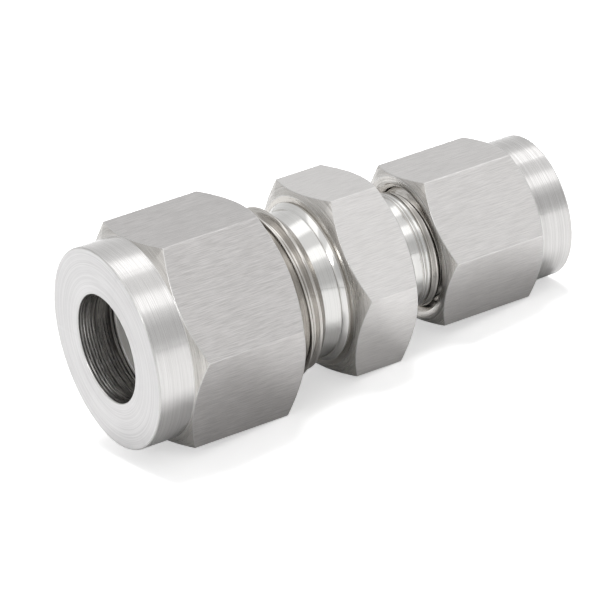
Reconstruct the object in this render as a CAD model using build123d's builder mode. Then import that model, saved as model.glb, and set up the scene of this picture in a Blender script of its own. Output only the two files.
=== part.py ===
"""Twin-ferrule reducing union for a 10 mm and a 6 mm tube: a hex body, two nuts and two pairs of ferrules."""

from build123d import *

import os
from math import cos, radians, tan
from types import SimpleNamespace

# Driving sizes in millimetres. The fitting lies along X, with the large tube end at -X.
large_tube_diameter = 10.0
large_thread_diameter = 15.875
large_thread_length = 10.77
large_thread_runout = 0.38
large_neck_diameter = 13.9
large_flare_diameter = 14.9
large_flare_length = 0.36
large_undercut_length = 0.34
large_stub_length = 13.64
large_socket_depth = 10.1
large_flow_bore = 7.9

large_nut_across_flats = 18.9
large_nut_length = 14.9
large_collar_diameter = 18.7
large_collar_length = 3.5
large_guide_length = 3.35
large_cavity_diameter = 13.9

large_back_flange_diameter = 12.6
large_back_flange_length = 1.3
large_back_nose_length = 1.0
large_front_flange_diameter = 13.2
large_front_flange_length = 1.45
large_front_cone_length = 3.1

small_tube_diameter = 6.0
small_thread_diameter = 11.1125
small_thread_length = 7.6
small_thread_runout = 0.15
small_neck_diameter = 10.5
small_stub_length = 11.3
small_socket_depth = 9.1
small_flow_bore = 4.8

small_nut_across_flats = 13.8
small_nut_length = 13.8
small_collar_diameter = 13.35
small_collar_length = 3.2
small_guide_length = 3.1
small_cavity_diameter = 9.0

small_back_flange_diameter = 8.0
small_back_flange_length = 1.0
small_back_nose_length = 0.8
small_front_flange_diameter = 8.5
small_front_flange_length = 1.1
small_front_cone_length = 2.5

# The small neck has a low step beside the hex.
small_step_diameter = 11.0
small_step_length = 2.25

hex_sides = 6
hex_across_flats = 16.75
hex_width = 6.66
hex_face_diameter = 15.92
hex_face_to_flow_step = 3.3

# Shapes that both ends share. Cone angles are measured from the axis.
hex_chamfer_angle = 60
seat_cone_angle = 12
drive_cone_angle = 45
drill_point_angle = 59
nut_corner_radius = 0.4
thread_entry_chamfer = 0.55
thread_start_chamfer = 0.4
nut_face_margin = 0.12
ferrule_tip_wall = 0.22
ferrule_standoff = 0.5
ferrule_recess = 0.5
nose_tip_wall = 0.28
nose_root_wall = 0.62

# Clearances, on the radius or along the axis.
tube_clearance = 0.05
thread_clearance = 0.05
seat_clearance = 0.05
ferrule_gap = 0.1


def cone_rise(length, angle):
    """Change of radius along a length of cone."""
    return length * tan(radians(angle))


def cone_run(height, angle):
    """Length of cone that changes the radius by a height."""
    return height / tan(radians(angle))


large = SimpleNamespace(
    sign=-1,
    tube_radius=large_tube_diameter / 2 + tube_clearance,
    thread_radius=large_thread_diameter / 2,
    thread_length=large_thread_length,
    thread_runout=large_thread_runout,
    neck_radius=large_neck_diameter / 2,
    stub_length=large_stub_length,
    socket_depth=large_socket_depth,
    flow_radius=large_flow_bore / 2,
    across_flats=large_nut_across_flats,
    nut_length=large_nut_length,
    collar_radius=large_collar_diameter / 2,
    collar_length=large_collar_length,
    guide_length=large_guide_length,
    cavity_radius=large_cavity_diameter / 2,
    back_radius=large_back_flange_diameter / 2,
    back_length=large_back_flange_length,
    nose_length=large_back_nose_length,
    front_radius=large_front_flange_diameter / 2,
    front_length=large_front_flange_length,
    cone_length=large_front_cone_length,
)
small = SimpleNamespace(
    sign=1,
    tube_radius=small_tube_diameter / 2 + tube_clearance,
    thread_radius=small_thread_diameter / 2,
    thread_length=small_thread_length,
    thread_runout=small_thread_runout,
    neck_radius=small_neck_diameter / 2,
    stub_length=small_stub_length,
    socket_depth=small_socket_depth,
    flow_radius=small_flow_bore / 2,
    across_flats=small_nut_across_flats,
    nut_length=small_nut_length,
    collar_radius=small_collar_diameter / 2,
    collar_length=small_collar_length,
    guide_length=small_guide_length,
    cavity_radius=small_cavity_diameter / 2,
    back_radius=small_back_flange_diameter / 2,
    back_length=small_back_flange_length,
    nose_length=small_back_nose_length,
    front_radius=small_front_flange_diameter / 2,
    front_length=small_front_flange_length,
    cone_length=small_front_cone_length,
)

# Stations of each end, counted along the axis from its tube face towards the hex.
for end in (large, small):
    end.back_rear = end.guide_length + ferrule_recess
    end.back_face = end.back_rear + end.back_length
    end.nose_tip = end.back_face + end.nose_length
    end.front_rear = end.back_face + ferrule_gap
    end.cone_root = end.front_rear + end.front_length
    end.cone_tip = end.cone_root + end.cone_length
    end.cone_radius = end.tube_radius + ferrule_tip_wall + cone_rise(end.cone_length, seat_cone_angle)
    end.stub_face = end.cone_root + ferrule_standoff
    end.mouth_radius = end.cone_radius - cone_rise(ferrule_standoff, seat_cone_angle) + seat_clearance
    end.mouth_bottom = end.stub_face + cone_run(end.mouth_radius - end.tube_radius, seat_cone_angle)
    end.socket_bottom = end.stub_face + end.socket_depth
    end.thread_end = end.stub_face + end.thread_length
    end.neck_start = end.thread_end + end.thread_runout
    end.hex_face = end.stub_face + end.stub_length

half_length = (large.hex_face + hex_width + small.hex_face) / 2


def place(end, outline):
    """Turn (station, radius) pairs into points in the fitting's frame, whose origin is midway along it."""
    return [(end.sign * (half_length - station), radius) for station, radius in outline]


def corner_radius(across_flats):
    """Distance from the axis to a sharp corner of a hexagon."""
    return across_flats / 2 / cos(radians(180 / hex_sides))


def make_nut(end):
    """Chamfered hex with a turned collar, a tube hole, a drive cone for the ferrules and the thread's bore."""
    corner = corner_radius(end.across_flats)
    thread_bore = end.thread_radius + thread_clearance
    face_radius = end.across_flats / 2 - nut_face_margin
    cavity_end = end.guide_length + cone_run(end.cavity_radius - end.tube_radius, drive_cone_angle)
    outside = [
        (0, 0),
        (0, end.collar_radius),
        (end.collar_length, end.collar_radius),
        (end.collar_length + cone_run(corner - end.collar_radius, hex_chamfer_angle), corner),
        (end.nut_length - cone_run(corner - face_radius, hex_chamfer_angle), corner),
        (end.nut_length, face_radius),
        (end.nut_length, 0),
    ]
    inside = [
        (0, 0),
        (0, end.tube_radius),
        (end.guide_length, end.tube_radius),
        (cavity_end, end.cavity_radius),
        (cavity_end, thread_bore),
        (end.nut_length - thread_entry_chamfer, thread_bore),
        (end.nut_length, thread_bore + thread_entry_chamfer),
        (end.nut_length, 0),
    ]
    with BuildPart() as nut:
        with BuildSketch(Plane.XZ):
            with BuildLine():
                Polyline(*place(end, outside), close=True)
            make_face()
        revolve(axis=Axis.X)
        with BuildSketch(Plane.YZ) as hexagon:
            RegularPolygon(end.across_flats / 2, side_count=hex_sides, major_radius=False)
            fillet(hexagon.vertices(), radius=nut_corner_radius)
        extrude(amount=half_length, both=True, mode=Mode.INTERSECT)
        with BuildSketch(Plane.XZ):
            with BuildLine():
                Polyline(*place(end, inside), close=True)
            make_face()
        revolve(axis=Axis.X, mode=Mode.SUBTRACT)
    return nut


def make_back_ferrule(end):
    """Rear ring: its bevel meets the nut's drive cone, and its nose enters the front ferrule's recess."""
    normal_gap = seat_clearance / cos(radians(drive_cone_angle))
    rear_radius = end.tube_radius + cone_rise(ferrule_recess, drive_cone_angle) - normal_gap
    bevel_end = end.back_rear + cone_run(end.back_radius - rear_radius, drive_cone_angle)
    outline = [
        (end.back_rear, end.tube_radius),
        (end.back_rear, rear_radius),
        (bevel_end, end.back_radius),
        (end.back_face, end.back_radius),
        (end.back_face, end.tube_radius + nose_root_wall),
        (end.nose_tip, end.tube_radius + nose_tip_wall),
        (end.nose_tip, end.tube_radius),
    ]
    with BuildPart() as ferrule:
        with BuildSketch(Plane.XZ):
            with BuildLine():
                Polyline(*place(end, outline), close=True)
            make_face()
        revolve(axis=Axis.X)
    return ferrule


def make_front_ferrule(end):
    """Front ring: a flange with a recess for the back ferrule's nose, and the cone that seats in the body."""
    nose_slope = (nose_root_wall - nose_tip_wall) / end.nose_length
    recess_depth = nose_root_wall - ferrule_gap * nose_slope + seat_clearance
    outline = [
        (end.front_rear, end.tube_radius + recess_depth),
        (end.front_rear + recess_depth / nose_slope, end.tube_radius),
        (end.cone_tip, end.tube_radius),
        (end.cone_tip, end.tube_radius + ferrule_tip_wall),
        (end.cone_root, end.cone_radius),
        (end.cone_root, end.front_radius),
        (end.front_rear, end.front_radius),
    ]
    with BuildPart() as ferrule:
        with BuildSketch(Plane.XZ):
            with BuildLine():
                Polyline(*place(end, outline), close=True)
            make_face()
        revolve(axis=Axis.X)
    return ferrule


# Outside of the body's two stubs, each from its mouth to the hex.
hex_corner = corner_radius(hex_across_flats)
hex_chamfer_length = cone_run(hex_corner - hex_face_diameter / 2, hex_chamfer_angle)
flare_end = large.hex_face - large_undercut_length
large.neck = [
    (large.neck_start, large.neck_radius),
    (flare_end - large_flare_length, large.neck_radius),
    (flare_end, large_flare_diameter / 2),
]
step_start = small.hex_face - small_step_length
small.neck = [
    (small.neck_start, small.neck_radius),
    (step_start, small.neck_radius),
    (step_start, small_step_diameter / 2),
    (small.hex_face, small_step_diameter / 2),
]
for end in (large, small):
    end.outside = [
        (end.stub_face, 0),
        (end.stub_face, end.thread_radius - cone_rise(thread_start_chamfer, drive_cone_angle)),
        (end.stub_face + thread_start_chamfer, end.thread_radius),
        (end.thread_end, end.thread_radius),
        *end.neck,
        (end.hex_face, hex_face_diameter / 2),
        (end.hex_face + hex_chamfer_length, hex_corner),
    ]

# Inside of the body: a seat cone and a tube socket at each end, and a stepped bore between them.
for end in (large, small):
    end.inside = [
        (end.stub_face, 0),
        (end.stub_face, end.mouth_radius),
        (end.mouth_bottom, end.tube_radius),
        (end.socket_bottom, end.tube_radius),
        (end.socket_bottom, end.flow_radius),
    ]
flow_step = large.hex_face + hex_face_to_flow_step
flow_cone = [
    (flow_step, large.flow_radius),
    (flow_step + cone_run(large.flow_radius - small.flow_radius, drill_point_angle), small.flow_radius),
]

with BuildPart() as body:
    with BuildSketch(Plane.XZ):
        with BuildLine():
            Polyline(*place(large, large.outside), *place(small, reversed(small.outside)), close=True)
        make_face()
    revolve(axis=Axis.X)
    with BuildSketch(Plane.YZ):
        RegularPolygon(hex_across_flats / 2, side_count=hex_sides, major_radius=False)
    extrude(amount=half_length, both=True, mode=Mode.INTERSECT)
    with BuildSketch(Plane.XZ):
        with BuildLine():
            Polyline(*place(large, large.inside + flow_cone), *place(small, reversed(small.inside)), close=True)
        make_face()
    revolve(axis=Axis.X, mode=Mode.SUBTRACT)

pieces = {
    "body": body,
    "large_nut": make_nut(large),
    "large_back_ferrule": make_back_ferrule(large),
    "large_front_ferrule": make_front_ferrule(large),
    "small_nut": make_nut(small),
    "small_back_ferrule": make_back_ferrule(small),
    "small_front_ferrule": make_front_ferrule(small),
}

os.makedirs("parts", exist_ok=True)
for name, piece in pieces.items():
    piece.part.label = name
    export_step(piece.part, f"parts/{name}.step")
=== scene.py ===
import math

import bmesh
import bpy
from mathutils import Matrix, Vector


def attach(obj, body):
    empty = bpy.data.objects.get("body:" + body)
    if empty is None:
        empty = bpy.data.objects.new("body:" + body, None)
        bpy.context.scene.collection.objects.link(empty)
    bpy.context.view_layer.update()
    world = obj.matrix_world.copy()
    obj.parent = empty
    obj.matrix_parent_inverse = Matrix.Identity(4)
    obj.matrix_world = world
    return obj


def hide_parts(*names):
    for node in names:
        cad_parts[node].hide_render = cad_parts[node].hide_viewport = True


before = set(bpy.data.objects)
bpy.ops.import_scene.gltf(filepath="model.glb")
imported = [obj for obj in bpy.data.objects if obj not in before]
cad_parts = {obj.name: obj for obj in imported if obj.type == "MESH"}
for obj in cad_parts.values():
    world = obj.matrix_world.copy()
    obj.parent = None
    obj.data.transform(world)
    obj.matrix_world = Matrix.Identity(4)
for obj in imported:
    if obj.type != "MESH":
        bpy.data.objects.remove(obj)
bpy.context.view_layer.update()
print("frame loaded")

mm = 0.001
wholeLength = 45.1  # mm, tube face to tube face
pitch = 1.27  # mm that a nut travels in one turn
tan30 = math.tan(math.radians(30))

# camera on the large end's side, a little above the fitting
cameraSetup = {
    "place": (-0.2057, -0.3836, 0.1552),
    "right": (0.8498, -0.5077, -0.1420),
    "up": (0.2905, 0.2262, 0.9298),
    "lens": 308.33,
    "sensor": 36.0,
    "clip": (0.02, 20),
}


def makeCamera(setup):
    data = bpy.data.cameras.new("camera")
    data.lens = setup["lens"]
    data.sensor_fit = "HORIZONTAL"
    data.sensor_width = setup["sensor"]
    data.clip_start, data.clip_end = setup["clip"]
    right = Vector(setup["right"]).normalized()
    back = right.cross(Vector(setup["up"])).normalized()
    turn = Matrix((right, back.cross(right), back)).transposed()
    camera = bpy.data.objects.new("camera", data)
    camera.matrix_world = Matrix.Translation(setup["place"]) @ turn.to_4x4()
    bpy.context.collection.objects.link(camera)
    bpy.context.scene.camera = camera


makeCamera(cameraSetup)
print("camera set")

# steel finishes, some with painted light or painted shade in their colours: lineWidth, lineLength and lineDepth (the
# bump's height) in mm
steelLook = {
    "nutFlat": {
        "colour": (0.68, 0.663, 0.655), "shade": (0.50, 0.487, 0.48), "marks": "along",
        "lineWidth": 0.055, "lineLength": 1.6, "lineDepth": 0.006, "roughness": (0.30, 0.44), "stretch": 0.35,
    },
    "bodyFlat": {
        "colour": (0.80, 0.786, 0.775), "shade": (0.66, 0.646, 0.636), "marks": "along",
        "lineWidth": 0.052, "lineLength": 1.6, "lineDepth": 0.0045, "roughness": (0.32, 0.44), "stretch": 0.35,
    },
    "smallNutFlat": {
        "colour": (0.76, 0.745, 0.735), "shade": (0.60, 0.587, 0.578), "marks": "along",
        "lineWidth": 0.052, "lineLength": 1.6, "lineDepth": 0.0045, "roughness": (0.30, 0.44), "stretch": 0.35,
    },
    "turnedFace": {
        "colour": (0.70, 0.693, 0.693), "shade": (0.61, 0.603, 0.603), "marks": "round",
        "lineWidth": 0.09, "lineLength": 7.0, "lineDepth": 0.004, "roughness": (0.30, 0.42), "stretch": 0.3,
    },
    "turnedCollar": {
        "colour": (0.74, 0.73, 0.722), "shade": (0.62, 0.61, 0.602), "marks": "round",
        "lineWidth": 0.08, "lineLength": 7.0, "lineDepth": 0.004, "roughness": (0.14, 0.26), "stretch": 0.5,
    },
    "smallCollar": {
        "colour": (0.71, 0.70, 0.692), "shade": (0.58, 0.57, 0.562), "marks": "round",
        "lineWidth": 0.08, "lineLength": 7.0, "lineDepth": 0.004, "roughness": (0.14, 0.26), "stretch": 0.5,
    },
    # the darker tones of the chamfers and of the nuts' end faces are partly painted shade, standing in for the shadow
    # at a nut's mouth beside the body hex
    "turnedChamferWithPaintedShade": {
        "colour": (0.64, 0.622, 0.598), "shade": (0.42, 0.405, 0.385), "marks": "round",
        "lineWidth": 0.10, "lineLength": 5.0, "lineDepth": 0.007, "roughness": (0.20, 0.34), "stretch": 0.4,
    },
    "polishedNeck": {
        "colour": (0.74, 0.735, 0.72), "shade": (0.66, 0.655, 0.64), "marks": "round",
        "lineWidth": 0.07, "lineLength": 14.0, "lineDepth": 0.0012, "roughness": (0.07, 0.15), "stretch": 0.2,
    },
    "cutThread": {
        "colour": (0.68, 0.66, 0.63), "shade": (0.46, 0.44, 0.415), "marks": "round",
        "lineWidth": 0.07, "lineLength": 5.0, "lineDepth": 0.002, "roughness": (0.10, 0.22), "stretch": 0.2,
    },
    "undercut": {
        "colour": (0.66, 0.635, 0.60), "shade": (0.50, 0.48, 0.45), "marks": "round",
        "lineWidth": 0.08, "lineLength": 6.0, "lineDepth": 0.002, "roughness": (0.22, 0.34), "stretch": 0.3,
    },
    # the spiral tool marks are real, but the very dark shade tone is painted shade that darkens the inside of the
    # holes
    "boreWithPaintedShade": {
        "colour": (0.58, 0.57, 0.55), "shade": (0.13, 0.125, 0.12), "marks": "spiral",
        "lineWidth": 0.30, "lineLength": 4.0, "lineDepth": 0.030, "roughness": (0.20, 0.34), "stretch": 0.6,
    },
    "brightEdge": {
        "colour": (0.66, 0.655, 0.645), "shade": (0.56, 0.555, 0.545), "marks": "round",
        "lineWidth": 0.08, "lineLength": 3.0, "lineDepth": 0.0008, "roughness": (0.26, 0.34), "stretch": 0.0,
    },
    # the ferrules' near-white colour is painted light: it brightens them deep in the nut in place of light falling
    # into the bore
    "ferruleWithPaintedLight": {
        "colour": (0.93, 0.92, 0.90), "shade": (0.84, 0.83, 0.81), "marks": "round",
        "lineWidth": 0.06, "lineLength": 10.0, "lineDepth": 0.004, "roughness": (0.58, 0.72), "stretch": 0.2,
    },
}
# how the lines are made, the same in every finish
grainSetup = {
    "detail": 4.0,
    "breakUp": 0.62,
    "drift": 0.7,  # how unevenly tool marks wander round the axis
    "feedWave": 0.35,  # height of a boring tool's spiral beside the lines
    "cloudScale": 420.0,
    "cloudDetail": 3.0,
    "cloudBreakUp": 0.5,
    "cloudShare": 0.12,
    "toneSpread": (0.38, 0.62),
    "glossSpread": (0.35, 0.65),
    "roundTurn": 0.25,  # turns the stretched highlight across tool marks
}


def addNode(tree, kind, values=None, **settings):
    # values gives each input its number, or the output that is linked to it
    node = tree.nodes.new(kind)
    for key, setting in settings.items():
        setattr(node, key, setting)
    for key, value in (values or {}).items():
        if isinstance(value, bpy.types.NodeSocket):
            tree.links.new(value, node.inputs[key])
        else:
            node.inputs[key].default_value = value
    return node


def addMath(tree, operation, *values):
    return addNode(tree, "ShaderNodeMath", dict(enumerate(values)), operation=operation).outputs[0]


def addNoise(tree, place, scale, detail, breakUp):
    values = {"Vector": place, "Scale": scale, "Detail": detail, "Roughness": breakUp}
    return addNode(tree, "ShaderNodeTexNoise", values).outputs[0]


def addRange(tree, value, spread, low=0.0, high=1.0):
    values = {"Value": value, "From Min": spread[0], "From Max": spread[1], "To Min": low, "To Max": high}
    return addNode(tree, "ShaderNodeMapRange", values).outputs[0]


def makeSteel(name, look, grain):
    steel = bpy.data.materials.new(name)
    steel.use_nodes = True
    tree = steel.node_tree
    shader = tree.nodes["Principled BSDF"]
    place = addNode(tree, "ShaderNodeTexCoord").outputs["Object"]
    axes = addNode(tree, "ShaderNodeSeparateXYZ", {0: place}).outputs
    across, along = 1 / (look["lineWidth"] * mm), 1 / (look["lineLength"] * mm)
    flatPlace = addNode(tree, "ShaderNodeCombineXYZ", {1: axes[1], 2: axes[2]}).outputs[0]
    radius = addNode(tree, "ShaderNodeVectorMath", {0: flatPlace}, operation="LENGTH").outputs["Value"]
    if look["marks"] == "along":  # grain that runs the length of a flat
        lineParts = (addMath(tree, "MULTIPLY", axes[0], along),
                     addMath(tree, "MULTIPLY", axes[1], across),
                     addMath(tree, "MULTIPLY", axes[2], across))
    else:  # tool marks that run round the axis and drift slowly
        sideways = addMath(tree, "MULTIPLY", axes[2], grain["drift"] * along)
        drift = addMath(tree, "MULTIPLY_ADD", axes[1], along, sideways)
        lineParts = (addMath(tree, "MULTIPLY", axes[0], across), addMath(tree, "MULTIPLY", radius, across), drift)
    linePlace = addNode(tree, "ShaderNodeCombineXYZ", dict(enumerate(lineParts))).outputs[0]
    lines = addNoise(tree, linePlace, 1.0, grain["detail"], grain["breakUp"])
    height = lines
    if look["marks"] == "spiral":  # the feed of a boring tool
        angle = addMath(tree, "ARCTAN2", axes[2], axes[1])
        feed = addMath(tree, "MULTIPLY_ADD", axes[0], math.tau * across, angle)
        wave = addMath(tree, "SINE", feed)
        height = addMath(tree, "MULTIPLY_ADD", wave, grain["feedWave"], lines)
    clouds = addNoise(tree, place, grain["cloudScale"], grain["cloudDetail"], grain["cloudBreakUp"])
    lineShare = addMath(tree, "MULTIPLY", lines, 1 - grain["cloudShare"])
    mixed = addMath(tree, "MULTIPLY_ADD", clouds, grain["cloudShare"], lineShare)
    tone = addRange(tree, mixed, grain["toneSpread"])
    tones = {0: tone, 6: (*look["shade"], 1), 7: (*look["colour"], 1)}
    colour = addNode(tree, "ShaderNodeMix", tones, data_type="RGBA").outputs[2]
    smoothest, roughest = look["roughness"]
    gloss = addRange(tree, mixed, grain["glossSpread"], roughest, smoothest)
    relief = {"Height": height, "Strength": 1.0, "Distance": look["lineDepth"] * mm}
    bump = addNode(tree, "ShaderNodeBump", relief).outputs[0]
    tree.links.new(colour, shader.inputs["Base Color"])
    tree.links.new(gloss, shader.inputs["Roughness"])
    tree.links.new(bump, shader.inputs["Normal"])
    shader.inputs["Metallic"].default_value = 1.0
    shader.inputs["Anisotropic"].default_value = look["stretch"]
    shader.inputs["Anisotropic Rotation"].default_value = 0.0 if look["marks"] == "along" else grain["roundTurn"]
    tangent = addNode(tree, "ShaderNodeTangent", direction_type="RADIAL", axis="X").outputs[0]
    tree.links.new(tangent, shader.inputs["Tangent"])
    return steel


steels = {name: makeSteel(name, look, grainSetup) for name, look in steelLook.items()}
print("steel finishes made")


# every piece is turned: an outline of (station, radius) in mm for each angle, stations counted from a tube face
turnSetup = {
    "step": 1.5,  # degrees from one outline to the next
    "ferruleStep": 3.0,
    "cornerColumns": (-1.6, -1, -0.5, 0, 0.5, 1, 1.6),  # outlines at a hexagon's corner, in shares of its rounding
    "cornerClear": 1.8,
    "bevelShare": 0.45,  # most of a side that a bevel may take
    "threadEdge": 0.022,  # half width of a thread's bevels, mm
    "weld": 2e-7,
    "sliver": 1e-7,
    "normalWeight": 60,
}


def hexReach(angle, flats, rounding):
    # distance from the axis to the side of a hexagon with rounded corners, at an angle in degrees
    off = math.radians((angle + 30) % 60 - 30)
    centre = (flats / 2 - rounding) / math.cos(math.pi / 6)
    if abs(off) < math.radians(roundingSpan(flats, rounding)):
        return centre * math.cos(off) + math.sqrt(rounding ** 2 - (centre * math.sin(off)) ** 2)
    return flats / 2 / math.cos(math.pi / 6 - abs(off))


def roundingSpan(flats, rounding):
    centre = (flats / 2 - rounding) / math.cos(math.pi / 6)
    return math.degrees(math.atan2(rounding / 2, centre + rounding * math.cos(math.pi / 6)))


def ringAngles(step, hexSize=None):
    angles = {round(i * step, 4) for i in range(round(360 / step) + 1)}
    if hexSize:
        span = roundingSpan(*hexSize)
        for corner in range(0, 361, 60):
            near = [corner + span * part for part in turnSetup["cornerColumns"]]
            angles = {a for a in angles if abs(a - corner) > turnSetup["cornerClear"] * span}
            angles |= {round(a, 4) for a in near if 0 <= a <= 360}
    return sorted(angles | {0.0, 360.0})


def threadRadius(thread, angle, station):
    # a groove in a male thread, or a ridge in a nut's, dips inwards once a pitch
    turns = (station - thread["phase"]) / pitch - thread["turn"] * angle / 360
    off = abs(turns - round(turns)) * pitch
    full = thread["halfWidth"]
    dip = thread["depth"] * min(1.0, max(0.0, (full + thread["depth"] * tan30 - off) / (thread["depth"] * tan30)))
    centre = thread["phase"] + pitch * (round(turns) + thread["turn"] * angle / 360)
    dip *= min(1.0, max(0.0, (thread["fadeAt"] - centre) / thread["fadeOver"]))
    radius = thread["radius"] - dip
    fromMouth = abs(station - thread["mouth"])
    if thread["male"]:
        runoutAt, runoutRadius = thread["runout"]
        return min(radius, thread["radius"] - thread["chamfer"] + fromMouth, runoutRadius + abs(station - runoutAt))
    return max(radius, thread["radius"] + thread["chamfer"] - fromMouth)


def threadRows(thread, angle):
    first, last = sorted(thread["span"])
    full = thread["halfWidth"]
    foot = full + thread["depth"] * tan30
    soft = turnSetup["threadEdge"]
    half = [full - soft, full + soft, (full + foot) / 2, foot - soft, foot + soft]
    offsets = [-o for o in reversed(half)] + half
    shift = thread["phase"] + pitch * thread["turn"] * angle / 360
    lowest = math.floor((first - thread["phase"]) / pitch) - 2
    highest = math.ceil((last - thread["phase"]) / pitch) + 2
    rows = []
    for groove in range(lowest, highest + 1):
        for offset in offsets:
            station = min(max(shift + groove * pitch + offset, first), last)
            rows.append((station, threadRadius(thread, angle, station)))
    return rows if thread["span"][0] < thread["span"][1] else rows[::-1]


def outlineAt(outline, angle, hexSize, threads):
    # each corner: kind, station, radius, softness, finish up to the next corner
    corners = []
    for kind, station, radius, soft, finish in outline:
        if kind == "turned":
            corners.append((station, radius, soft, finish))
        elif kind in ("rise", "fall"):  # where a 30 degree chamfer meets the hexagon
            reach = hexReach(angle, *hexSize)
            way = 1 if kind == "rise" else -1
            corners.append((station + way * (reach - radius) * tan30, reach, soft, finish))
        else:
            corners += [(s, r, 0, finish) for s, r in threadRows(threads[kind], angle)]
    points, finishes = [], []
    for i, (station, radius, soft, finish) in enumerate(corners):
        if not soft:
            points.append((station, radius))
            finishes.append(finish)
            continue
        here = Vector((station, radius))
        sides = []
        for other in (corners[i - 1], corners[(i + 1) % len(corners)]):
            way = Vector(other[:2]) - here
            sides.append(here + way * min(soft / way.length, turnSetup["bevelShare"]))
        points += [tuple(sides[0]), tuple((sides[0] + 2 * here + sides[1]) / 4), tuple(sides[1])]
        finishes += ["brightEdge", "brightEdge", finish]
    return points, finishes


def turnPiece(name, body, outline, mirrored=False, hexSize=None, threads=None, step=turnSetup["step"]):
    shape = bmesh.new()
    rings = []
    for angle in ringAngles(step, hexSize):
        points, finishes = outlineAt(outline, angle, hexSize, threads)
        y, z = math.cos(math.radians(angle)), math.sin(math.radians(angle))
        ring = []
        for station, radius in points:
            x = wholeLength / 2 - station if mirrored else station - wholeLength / 2
            ring.append(shape.verts.new((x * mm, radius * y * mm, radius * z * mm)))
        rings.append(ring)
    used = list(dict.fromkeys(finishes))
    for one, two in zip(rings, rings[1:]):
        for i in range(len(one)):
            j = (i + 1) % len(one)
            face = shape.faces.new((one[i], one[j], two[j], two[i]))
            face.material_index = used.index(finishes[i])
            face.smooth = True
    bmesh.ops.remove_doubles(shape, verts=shape.verts, dist=turnSetup["weld"])
    bmesh.ops.dissolve_degenerate(shape, edges=shape.edges, dist=turnSetup["sliver"])
    bmesh.ops.recalc_face_normals(shape, faces=shape.faces)
    mesh = bpy.data.meshes.new(name)
    shape.to_mesh(mesh)
    shape.free()
    for finish in used:
        mesh.materials.append(steels[finish])
    piece = bpy.data.objects.new(name, mesh)
    bpy.context.collection.objects.link(piece)
    shading = piece.modifiers.new("flat faces", "WEIGHTED_NORMAL")
    shading.keep_sharp = False
    shading.weight = turnSetup["normalWeight"]
    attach(piece, body)
    print(name, len(mesh.polygons), "faces")
    return piece


# threads: radius and depth on the body, wall and ridge in the nut, phase the station of a groove's middle at angle 0
largeThread = {"radius": 7.9375, "depth": 0.779, "wall": 7.98, "ridge": 0.74, "phase": 16.484}
smallThread = {"radius": 5.556, "depth": 0.779, "wall": 5.60, "ridge": 0.74, "phase": 31.23}
threadForm = {"crest": pitch / 16, "play": 0.02, "stubChamfer": 0.4, "nutChamfer": 0.54, "farAway": 1000.0}


def maleThread(size, span, mouth, runout, fade):
    halfWidth = pitch / 2 - threadForm["crest"] - size["depth"] * tan30
    return {
        "male": True, "turn": 1, "radius": size["radius"], "depth": size["depth"], "phase": size["phase"],
        "halfWidth": halfWidth, "span": span, "mouth": mouth, "chamfer": threadForm["stubChamfer"],
        "runout": runout, "fadeAt": fade[0], "fadeOver": fade[1],
    }


def nutThread(size, span, mirrored):
    inner = size["wall"] - size["ridge"]
    halfWidth = pitch / 2 - (threadForm["crest"] + (size["radius"] - inner) * tan30) - threadForm["play"]
    return {
        "male": False, "turn": -1 if mirrored else 1, "radius": size["wall"], "depth": size["ridge"],
        "phase": wholeLength - size["phase"] if mirrored else size["phase"],
        "halfWidth": halfWidth, "span": span, "mouth": span[0], "chamfer": threadForm["nutChamfer"],
        "fadeAt": threadForm["farAway"], "fadeOver": 1.0,  # a nut's ridge runs on to its mouth
    }


# body: each ring is station, radius, softness, finish up to the next ring
bodySize = {
    "hexFlats": 16.75, "hexRounding": 0.10, "hexFrom": 20.84, "hexTo": 27.5, "hexFace": 7.96, "hexEdge": 0.04,
    "largeEnd": (7.2, 5.873, 0.05, "turnedFace"),
    "largeThread": (7.2, 18.44),
    "largeRunout": (18.46, 6.93),
    "largeFade": (17.75, 0.35),
    "largeNeck": [
        (18.46, 6.93, 0.02, "polishedNeck"),
        (20.12, 6.93, 0.03, "polishedNeck"),
        (20.18, 7.03, 0.02, "polishedNeck"),
        (20.60, 7.42, 0.03, "undercut"),
        (20.64, 7.28, 0.03, "undercut"),
        (20.80, 7.28, 0.03, "undercut"),
    ],
    "smallNeck": [
        (27.5, 7.96, 0.06, "turnedFace"),
        (27.5, 5.50, 0.05, "polishedNeck"),
        (29.70, 5.50, 0.03, "undercut"),  # first fine groove
        (29.73, 5.40, 0.02, "undercut"),
        (29.85, 5.40, 0.02, "undercut"),
        (29.88, 5.47, 0.03, "polishedNeck"),
        (30.06, 5.47, 0.03, "undercut"),  # second fine groove
        (30.09, 5.37, 0.02, "undercut"),
        (30.20, 5.37, 0.02, "undercut"),
        (30.23, 5.42, 0.03, "polishedNeck"),
        (30.70, 5.42, 0.03, "undercut"),  # relief at the foot of the thread
        (30.74, 5.22, 0.03, "undercut"),
        (30.9, 5.22, 0, "cutThread"),
    ],
    "smallThread": (30.92, 38.8),
    "smallRunout": (30.9, 5.22),
    "smallFade": (31.25, -0.35),
    "smallEnd": (38.8, 4.70, 0, "turnedFace"),
    # the bore's finish darkens it with painted shade
    "bore": [
        (38.8, 3.745, 0.05, "boreWithPaintedShade"),
        (35.53, 3.05, 0.05, "boreWithPaintedShade"),
        (29.7, 3.05, 0.03, "boreWithPaintedShade"),
        (29.7, 2.4, 0.05, "boreWithPaintedShade"),
        (25.07, 2.4, 0.03, "boreWithPaintedShade"),
        (24.14, 3.95, 0.03, "boreWithPaintedShade"),
        (17.3, 3.95, 0.05, "boreWithPaintedShade"),
        (17.3, 5.05, 0.03, "boreWithPaintedShade"),
        (11.07, 5.05, 0.05, "boreWithPaintedShade"),
    ],
}


def turned(rings):
    return [("turned", *ring) for ring in rings]


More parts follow.
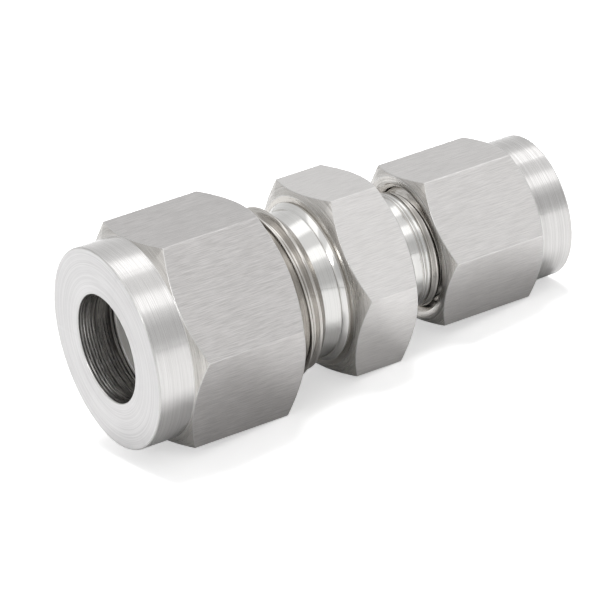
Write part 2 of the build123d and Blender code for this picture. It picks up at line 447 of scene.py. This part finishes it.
def makeBody(size):
    face, edge = size["hexFace"], size["hexEdge"]
    largeSpan, smallSpan = size["largeThread"], size["smallThread"]
    outline = [
        *turned([size["largeEnd"]]),
        ("large", 0, 0, 0, "cutThread"),
        *turned(size["largeNeck"]),
        ("turned", size["hexFrom"], face, edge, "turnedChamferWithPaintedShade"),
        ("rise", size["hexFrom"], face, edge, "bodyFlat"),
        ("fall", size["hexTo"], face, edge, "turnedChamferWithPaintedShade"),
        *turned(size["smallNeck"]),
        ("small", 0, 0, 0, "cutThread"),
        *turned([size["smallEnd"]]),
        *turned(size["bore"]),
    ]
    threads = {
        "large": maleThread(largeThread, largeSpan, largeSpan[0], size["largeRunout"], size["largeFade"]),
        "small": maleThread(smallThread, smallSpan, smallSpan[1], size["smallRunout"], size["smallFade"]),
    }
    piece = turnPiece("unionBody", "union_body", outline,
                      hexSize=(size["hexFlats"], size["hexRounding"]), threads=threads)
    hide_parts("body")


makeBody(bodySize)

# nuts
nutEdges = {"hole": 0.12, "rim": 0.15, "other": 0.05}
largeNutSize = {
    "flats": 18.9, "rounding": 0.16, "length": 14.9, "collar": 9.35, "collarLength": 3.5, "face": 9.33,
    "hole": 5.05, "guide": 3.35, "cavityFrom": 5.25, "cavity": 6.95, "thread": largeThread, "threadFrom": 6.7,
    "flatFinish": "nutFlat", "collarFinish": "turnedCollar",
}
smallNutSize = {
    "flats": 13.8, "rounding": 0.16, "length": 13.8, "collar": 6.675, "collarLength": 3.2, "face": 6.78,
    "hole": 3.05, "guide": 3.1, "cavityFrom": 4.55, "cavity": 4.5, "thread": smallThread, "threadFrom": 5.9,
    "flatFinish": "smallNutFlat", "collarFinish": "smallCollar",
}


def makeNut(name, body, node, size, mirrored=False):
    wall, edge = size["thread"]["wall"], nutEdges["other"]
    rings = [
        ("turned", 0, size["hole"], nutEdges["hole"], "turnedFace"),
        ("turned", 0, size["collar"], nutEdges["rim"], size["collarFinish"]),
        ("turned", size["collarLength"], size["collar"], edge, "turnedChamferWithPaintedShade"),
        ("rise", size["collarLength"], size["collar"], edge, size["flatFinish"]),
        ("fall", size["length"], size["face"], edge, "turnedChamferWithPaintedShade"),
        # the end face round the thread takes the chamfer finish, darkened with painted shade
        ("turned", size["length"], size["face"], edge, "turnedChamferWithPaintedShade"),
        ("nut", 0, 0, 0, "cutThread"),
        # from here the cavity takes the bore finish, darkened with painted shade
        ("turned", size["cavityFrom"], wall, edge, "boreWithPaintedShade"),
        ("turned", size["cavityFrom"], size["cavity"], edge, "boreWithPaintedShade"),
        ("turned", size["guide"], size["hole"], edge, "boreWithPaintedShade"),
    ]
    threads = {"nut": nutThread(size["thread"], (size["length"], size["threadFrom"]), mirrored)}
    hexSize = (size["flats"], size["rounding"])
    piece = turnPiece(name, body, rings, mirrored, hexSize, threads)
    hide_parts(node)


makeNut("largeNut", "large_nut_body", "large_nut", largeNutSize)
makeNut("smallNut", "small_nut_body", "small_nut", smallNutSize, mirrored=True)

# ferrules: stations and radii of each ring's corners
ferruleSize = {
    "large_back_ferrule": [
        (3.85, 5.05), (3.85, 5.479), (4.671, 6.3), (5.15, 6.3), (5.15, 5.67), (6.15, 5.33), (6.15, 5.05),
    ],
    "large_front_ferrule": [
        (5.25, 5.686), (7.12, 5.05), (9.8, 5.05), (9.8, 5.27), (6.7, 5.929), (6.7, 6.6), (5.25, 6.6),
    ],
    "small_back_ferrule": [
        (3.6, 3.05), (3.6, 3.479), (4.121, 4.0), (4.6, 4.0), (4.6, 3.67), (5.4, 3.33), (5.4, 3.05),
    ],
    "small_front_ferrule": [
        (4.7, 3.677), (6.176, 3.05), (8.3, 3.05), (8.3, 3.27), (5.8, 3.801), (5.8, 4.25), (4.7, 4.25),
    ],
    "edge": 0.04,
}


def makeFerrule(node, size):
    end, side, kind = node.split("_")
    # every ferrule takes the finish brightened with painted light
    outline = [("turned", station, radius, size["edge"], "ferruleWithPaintedLight") for station, radius in size[node]]
    name = end + side.capitalize() + kind.capitalize()
    piece = turnPiece(name, end + "_ferrules", outline,
                      mirrored=end == "small", step=turnSetup["ferruleStep"])
    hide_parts(node)


for ferruleNode in ("large_back_ferrule", "large_front_ferrule", "small_back_ferrule", "small_front_ferrule"):
    makeFerrule(ferruleNode, ferruleSize)
print("pieces made")

# floor under the nuts' flats, tipped because the small nut is lower than the large one
floorSetup = {
    "touch": (-8.3, -9.45),  # mm along X and Z where the large nut rests
    "tilt": 5.015,
    "size": 1.6,
    "colour": (0.80, 0.80, 0.80),
    "glow": 0.52,
}


def makeFloor(setup):
    paint = bpy.data.materials.new("whiteFloor")
    paint.use_nodes = True
    tree = paint.node_tree
    tree.nodes.remove(tree.nodes["Principled BSDF"])
    matt = addNode(tree, "ShaderNodeBsdfDiffuse", {"Color": (*setup["colour"], 1)}).outputs[0]
    path = addNode(tree, "ShaderNodeLightPath").outputs["Is Camera Ray"]
    glow = addNode(tree, "ShaderNodeEmission", {"Strength": addMath(tree, "MULTIPLY", path, setup["glow"])}).outputs[0]
    both = addNode(tree, "ShaderNodeAddShader", {0: matt, 1: glow}).outputs[0]
    tree.links.new(both, tree.nodes["Material Output"].inputs["Surface"])
    mesh = bpy.data.meshes.new("floor")
    half = setup["size"] / 2
    slope = math.tan(math.radians(setup["tilt"]))
    x0, z0 = (value * mm for value in setup["touch"])
    corners = [(x, y, z0 + (x - x0) * slope) for x, y in ((-half, -half), (half, -half), (half, half), (-half, half))]
    mesh.from_pydata(corners, [], [(0, 1, 2, 3)])
    mesh.materials.append(paint)
    floor = bpy.data.objects.new("floor", mesh)
    bpy.context.collection.objects.link(floor)


makeFloor(floorSetup)

# light: a white tent with a soft box overhead, brighter in front than behind
lightSetup = {
    "room": 0.55,
    "backdrop": 1.0,
    "ends": 0.95,
    "endsFrom": (0.80, 0.97),  # how squarely a look along the axis meets an end
    # brightness by degrees round the fitting's axis, from the front of the floor (0) over the top to the back
    "tent": [(-180, 0.95), (0, 0.90), (10, 0.64), (28, 0.62), (44, 0.95), (48, 1.45), (63, 1.45), (69, 0.93),
             (90, 0.93), (95, 1.50), (115, 1.50), (122, 0.86), (142, 0.74), (160, 0.78), (180, 0.95)],
    "lamps": {
        "floorLamp": {"place": (0.05, 0.08, 0.50), "size": 0.30, "power": 2.6, "mirrored": False},
        "holeLamp": {"place": (-0.42, -0.17, 0.20), "size": 0.12, "power": 0.22, "mirrored": True},
    },
}


def makeRoom(setup):
    world = bpy.data.worlds.new("room")
    world.use_nodes = True
    bpy.context.scene.world = world
    tree = world.node_tree
    tree.nodes.clear()
    path = addNode(tree, "ShaderNodeLightPath").outputs
    way = addNode(tree, "ShaderNodeTexCoord").outputs["Generated"]
    axes = addNode(tree, "ShaderNodeSeparateXYZ", {0: way}).outputs
    roundAxis = addMath(tree, "ARCTAN2", axes[2], addMath(tree, "MULTIPLY", axes[1], -1.0))
    ramp = addNode(tree, "ShaderNodeValToRGB", {0: addRange(tree, roundAxis, (-math.pi, math.pi))})
    stops = ramp.color_ramp.elements
    while len(stops) < len(setup["tent"]):
        stops.new(0.5)
    for stop, (place, level) in zip(stops, setup["tent"]):
        stop.position = (place + 180) / 360
        stop.color = (level / 2, level / 2, level / 2, 1)  # halved, because a ramp's colours stop at 1
    towardEnd = addRange(tree, addMath(tree, "ABSOLUTE", axes[0]), setup["endsFrom"])
    sides = addMath(tree, "MULTIPLY", ramp.outputs[0], 2.0)
    tent = addNode(tree, "ShaderNodeMix", {0: towardEnd, 2: sides, 3: setup["ends"]}).outputs[0]

    def blended(amount, one, two):
        return addNode(tree, "ShaderNodeMix", {0: amount, 2: one, 3: two}).outputs[0]

    mirrored = addMath(tree, "MAXIMUM", path["Is Glossy Ray"], path["Is Transmission Ray"])
    strength = blended(mirrored, setup["room"], tent)
    strength = blended(path["Is Camera Ray"], strength, setup["backdrop"])
    light = addNode(tree, "ShaderNodeBackground", {"Color": (1, 1, 1, 1), "Strength": strength}).outputs[0]
    output = addNode(tree, "ShaderNodeOutputWorld")
    tree.links.new(light, output.inputs["Surface"])
    for name, lamp in setup["lamps"].items():
        data = bpy.data.lights.new(name, "AREA")
        data.shape = "DISK"
        data.size = lamp["size"]
        data.energy = lamp["power"]
        box = bpy.data.objects.new(name, data)
        box.location = lamp["place"]
        box.rotation_euler = Vector(lamp["place"]).to_track_quat("Z", "Y").to_euler()
        box.visible_glossy = lamp["mirrored"]
        bpy.context.collection.objects.link(box)


makeRoom(lightSetup)
bpy.context.scene.view_settings.view_transform = "Standard"
print("floor and light set")
